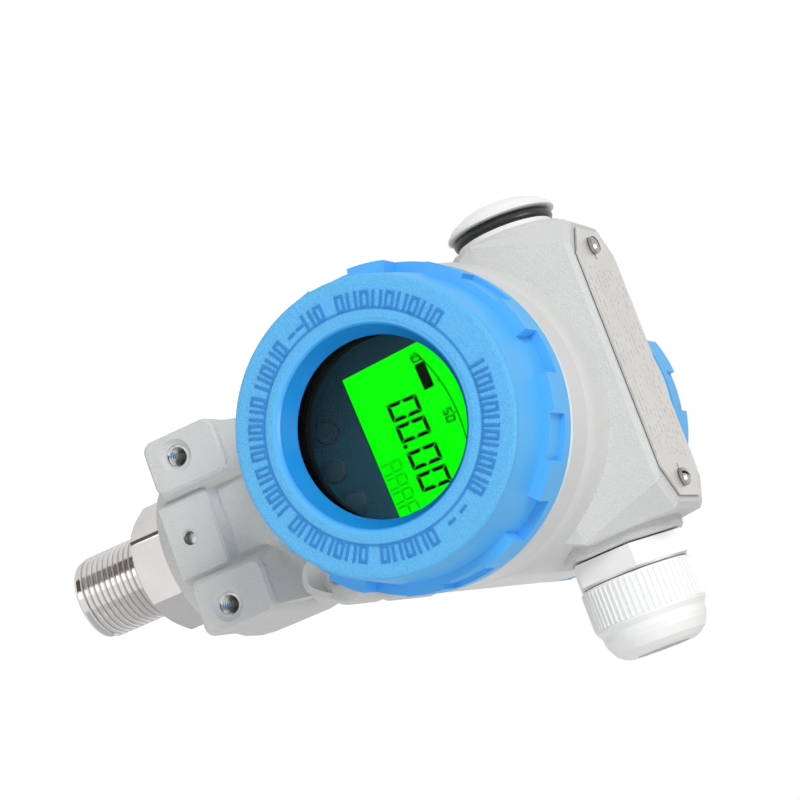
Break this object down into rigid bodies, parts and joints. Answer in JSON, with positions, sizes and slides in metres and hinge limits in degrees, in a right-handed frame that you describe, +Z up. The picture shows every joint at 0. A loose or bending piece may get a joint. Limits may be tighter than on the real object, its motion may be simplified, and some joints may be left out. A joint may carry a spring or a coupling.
{
  "type": "pressure transmitter",
  "caption": "Two-compartment field pressure transmitter: round cast head with windowed display cover, blind rear cover, cable gland, blanking plug, hexagon and threaded process stem.",
  "frame": {"origin": "centre of the sealing shoulder under the hexagon, where the process thread begins", "axes": "+Z up along the neck, -Z along the process thread, -Y towards the display cover, +X towards the cable gland"},
  "size_m": [0.1048, 0.1157, 0.1469],
  "materials": {
    "housing_paint": "light grey powder coat on cast aluminium",
    "cover_paint": "blue powder coat on cast aluminium",
    "seal_rubber": "black moulded rubber",
    "cover_glass": "clear tempered glass",
    "zinc_steel": "bright zinc",
    "bezel_plastic": "dark slate moulding",
    "lcd_green": "lit green display",
    "circuit_board": "green solder mask",
    "black_plastic": "black moulding",
    "button_rubber": "dark silicone keys",
    "brass": "turned brass",
    "potting": "epoxy potting",
    "stainless": "turned stainless steel",
    "plate_steel": "satin stainless sheet",
    "black_steel": "black oxide",
    "nylon": "white nylon"
  },
  "bodies": {
    "housing": {"housing": "housing_paint", "display_bezel": "bezel_plastic", "lcd_panel": "lcd_green", "display_board": "circuit_board", "board_connector": "black_plastic", "electronics_can": "zinc_steel", "standoff_1": "brass", "standoff_2": "brass", "standoff_3": "brass", "terminal_block": "black_plastic", "feedthrough": "potting", "inner_earth_screw": "stainless", "terminal_screw_1": "stainless", "terminal_screw_2": "stainless", "terminal_screw_3": "stainless", "nameplate": "plate_steel", "plate_screw_left": "stainless", "plate_screw_right": "stainless", "earth_screw": "black_steel", "neck_set_screw": "black_steel", "gland_gasket": "seal_rubber", "gland_body": "nylon", "gland_seal": "seal_rubber", "conduit_adapter": "nylon", "process_connection": "stainless", "diaphragm": "stainless", "sensor_module": "stainless"},
    "front_seal_ring": {"front_cover_seal": "seal_rubber"},
    "front_cover": {"front_cover": "cover_paint", "cover_glass": "cover_glass", "glass_gasket": "seal_rubber", "glass_retainer": "black_steel"},
    "rear_seal_ring": {"rear_cover_seal": "seal_rubber"},
    "rear_cover": {"rear_cover": "cover_paint"},
    "button_left": {"button_left": "button_rubber"},
    "button_middle": {"button_middle": "button_rubber"},
    "button_right": {"button_right": "button_rubber"},
    "gland_claw": {"gland_claw": "nylon"},
    "gland_nut": {"gland_nut": "nylon"},
    "plug_seal_ring": {"plug_seal": "seal_rubber"},
    "blanking_plug": {"blanking_plug": "nylon"}
  },
  "joints": [
    {"name": "front_cover_travel", "type": "slide", "parent": "housing", "child": "front_seal_ring", "axis": [0, -1, 0], "range_m": [0, 0.0091]},
    {"name": "front_cover_turn", "type": "hinge", "parent": "front_seal_ring", "child": "front_cover", "pos_m": [0, -0.045, 0.0852], "axis": [0, -1, 0], "range_deg": [0, 2160]},
    {"name": "rear_cover_travel", "type": "slide", "parent": "housing", "child": "rear_seal_ring", "axis": [0, 1, 0], "range_m": [0, 0.0091]},
    {"name": "rear_cover_turn", "type": "hinge", "parent": "rear_seal_ring", "child": "rear_cover", "pos_m": [0, 0.045, 0.0852], "axis": [0, 1, 0], "range_deg": [0, 2160]},
    {"name": "gland_nut_travel", "type": "slide", "parent": "housing", "child": "gland_claw", "axis": [1, 0, 0], "range_m": [0, 0.0075]},
    {"name": "gland_nut_turn", "type": "hinge", "parent": "gland_claw", "child": "gland_nut", "pos_m": [0.048, 0, 0.1075], "axis": [1, 0, 0], "range_deg": [0, 1802]},
    {"name": "blanking_plug_travel", "type": "slide", "parent": "housing", "child": "plug_seal_ring", "axis": [-1, 0, 0], "range_m": [0, 0.0075]},
    {"name": "blanking_plug_turn", "type": "hinge", "parent": "plug_seal_ring", "child": "blanking_plug", "pos_m": [-0.04, 0, 0.1075], "axis": [-1, 0, 0], "range_deg": [0, 1802]},
    {"name": "button_left_press", "type": "slide", "parent": "housing", "child": "button_left", "axis": [0, 1, 0], "range_m": [0, 0.0008], "stiffness_N_per_m": 900, "springref_m": -0.0006},
    {"name": "button_middle_press", "type": "slide", "parent": "housing", "child": "button_middle", "axis": [0, 1, 0], "range_m": [0, 0.0008], "stiffness_N_per_m": 900, "springref_m": -0.0006},
    {"name": "button_right_press", "type": "slide", "parent": "housing", "child": "button_right", "axis": [0, 1, 0], "range_m": [0, 0.0008], "stiffness_N_per_m": 900, "springref_m": -0.0006}
  ],
  "couplings": [
    {"joint": "front_cover_travel", "follows": "front_cover_turn", "m_per_rad": 0.00023873},
    {"joint": "rear_cover_travel", "follows": "rear_cover_turn", "m_per_rad": 0.00023873},
    {"joint": "gland_nut_turn", "follows": "gland_nut_travel", "rad_per_m": 4188.8},
    {"joint": "blanking_plug_turn", "follows": "blanking_plug_travel", "rad_per_m": 4188.8}
  ]
}
